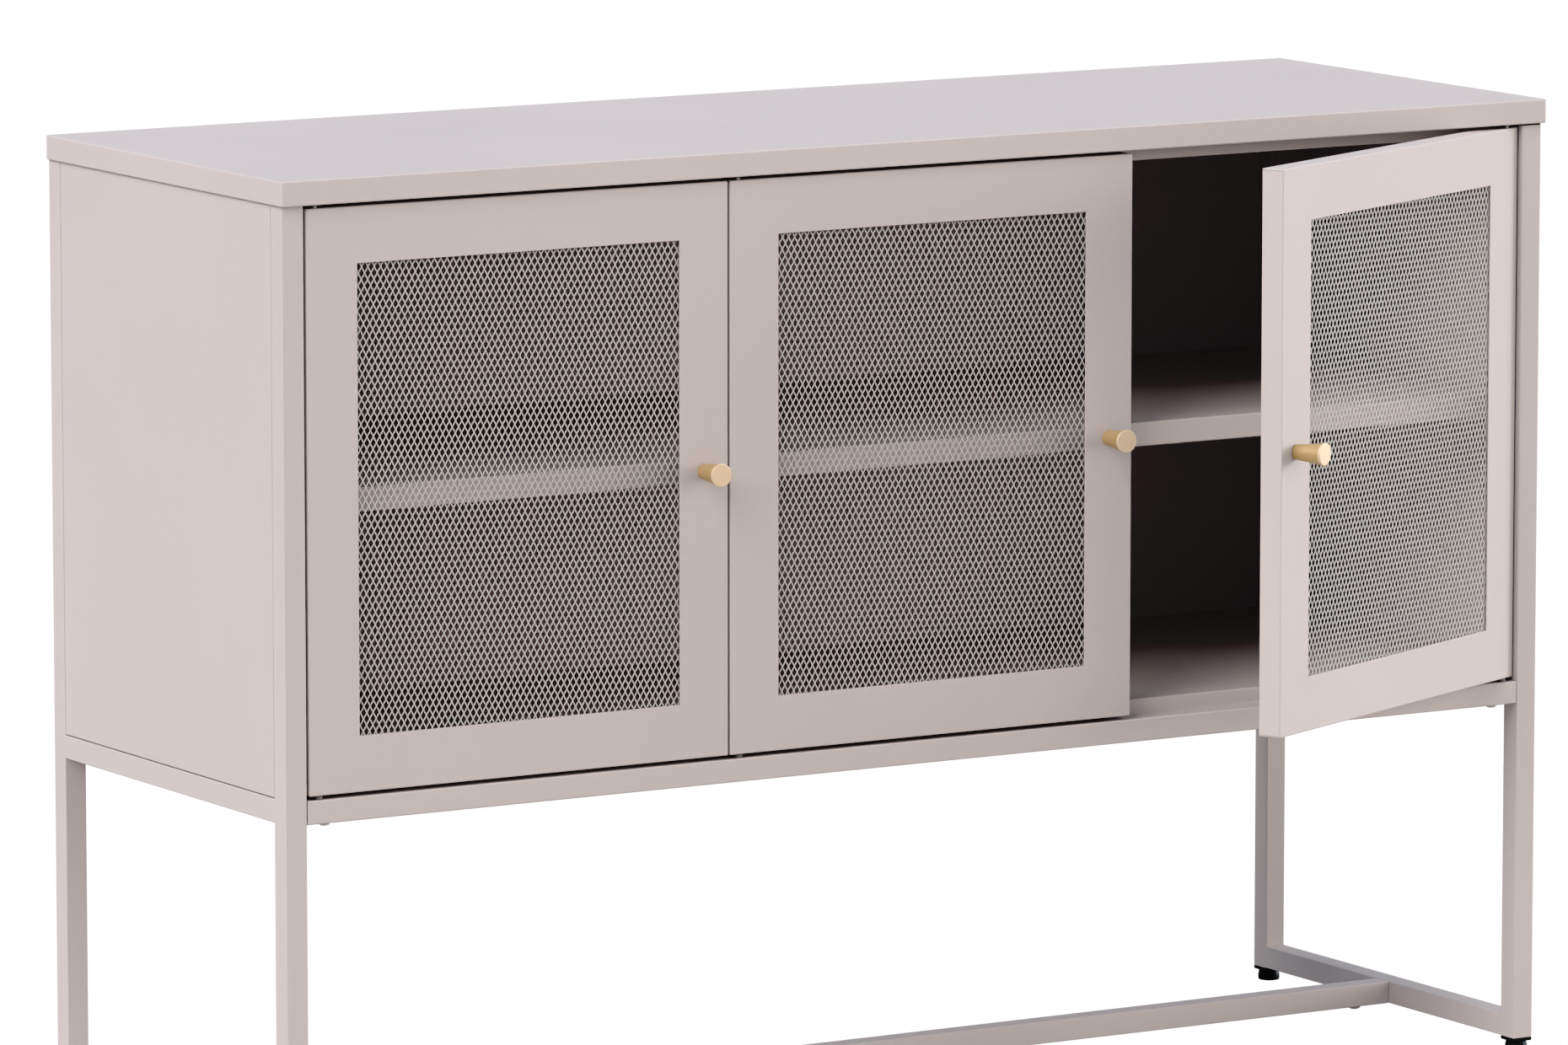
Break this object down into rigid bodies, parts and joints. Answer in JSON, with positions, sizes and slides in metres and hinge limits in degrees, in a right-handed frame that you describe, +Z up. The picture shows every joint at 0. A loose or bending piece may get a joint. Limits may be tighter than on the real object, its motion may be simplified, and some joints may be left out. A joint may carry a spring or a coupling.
{
  "type": "sideboard",
  "caption": "Low powder-coated steel sideboard on square-tube legs, with expanded-mesh pivot doors, round brass knobs, an inner shelf and a floor-level stretcher",
  "frame": {"origin": "centre of the bounding box's footprint, on the floor, with the right door as open as in the picture", "axes": "+X to the right as seen from the front, +Y to the back, +Z up; the doors face -Y"},
  "size_m": [1.2, 0.5748, 0.809],
  "materials": {
    "body_paint": "satin powder coat, warm light greige",
    "mesh_paint": "satin powder coat, pale greige",
    "knob_brass": "satin",
    "zinc": "bright zinc plate",
    "nylon": "natural nylon",
    "black_plastic": "matte black"
  },
  "bodies": {
    "cabinet": {"top_panel": "body_paint", "back_panel": "body_paint", "base_panel": "body_paint", "top_stop_rail": "body_paint", "shelf": "body_paint", "stretcher": "body_paint", "left_side_rail": "body_paint", "left_bottom_rail": "body_paint", "left_side_panel": "body_paint", "left_stretcher_bolt": "zinc", "right_side_rail": "body_paint", "right_bottom_rail": "body_paint", "right_side_panel": "body_paint", "right_stretcher_bolt": "zinc", "left_front_leg": "body_paint", "left_front_base_screw": "zinc", "left_front_leg_cap": "black_plastic", "left_rear_leg": "body_paint", "left_rear_base_screw": "zinc", "left_rear_leg_cap": "black_plastic", "right_front_leg": "body_paint", "right_front_base_screw": "zinc", "right_front_leg_cap": "black_plastic", "right_rear_leg": "body_paint", "right_rear_base_screw": "zinc", "right_rear_leg_cap": "black_plastic", "left_door_top_bush": "nylon", "left_door_bottom_bush": "nylon", "middle_door_top_bush": "nylon", "middle_door_bottom_bush": "nylon", "right_door_top_bush": "nylon", "right_door_bottom_bush": "nylon"},
    "left_door": {"left_door_shell": "body_paint", "left_door_mesh": "mesh_paint", "left_door_mesh_frame": "body_paint", "left_door_knob": "knob_brass", "left_door_knob_screw": "zinc", "left_door_top_pin": "zinc", "left_door_bottom_pin": "zinc", "left_door_magnet": "black_plastic"},
    "middle_door": {"middle_door_shell": "body_paint", "middle_door_mesh": "mesh_paint", "middle_door_mesh_frame": "body_paint", "middle_door_knob": "knob_brass", "middle_door_knob_screw": "zinc", "middle_door_top_pin": "zinc", "middle_door_bottom_pin": "zinc", "middle_door_magnet": "black_plastic"},
    "right_door": {"right_door_shell": "body_paint", "right_door_mesh": "mesh_paint", "right_door_mesh_frame": "body_paint", "right_door_knob": "knob_brass", "right_door_knob_screw": "zinc", "right_door_top_pin": "zinc", "right_door_bottom_pin": "zinc", "right_door_magnet": "black_plastic"},
    "left_front_foot": {"left_front_levelling_foot": "black_plastic"},
    "left_rear_foot": {"left_rear_levelling_foot": "black_plastic"},
    "right_front_foot": {"right_front_levelling_foot": "black_plastic"},
    "right_rear_foot": {"right_rear_levelling_foot": "black_plastic"}
  },
  "joints": [
    {"name": "left_door_pivot", "type": "hinge", "parent": "cabinet", "child": "left_door", "pos_m": [-0.5659, -0.10263, 0.55363], "axis": [0, 0, -1], "range_deg": [0, 110]},
    {"name": "middle_door_pivot", "type": "hinge", "parent": "cabinet", "child": "middle_door", "pos_m": [-0.1813, -0.10263, 0.55363], "axis": [0, 0, -1], "range_deg": [0, 110]},
    {"name": "right_door_pivot", "type": "hinge", "parent": "cabinet", "child": "right_door", "pos_m": [0.5659, -0.10263, 0.55363], "axis": [0, 0, 1], "range_deg": [-25.5, 84.5]},
    {"name": "left_front_foot_thread", "type": "slide", "parent": "cabinet", "child": "left_front_foot", "axis": [0, 0, -1], "range_m": [0, 0.012]},
    {"name": "left_rear_foot_thread", "type": "slide", "parent": "cabinet", "child": "left_rear_foot", "axis": [0, 0, -1], "range_m": [0, 0.012]},
    {"name": "right_front_foot_thread", "type": "slide", "parent": "cabinet", "child": "right_front_foot", "axis": [0, 0, -1], "range_m": [0, 0.012]},
    {"name": "right_rear_foot_thread", "type": "slide", "parent": "cabinet", "child": "right_rear_foot", "axis": [0, 0, -1], "range_m": [0, 0.012]}
  ]
}
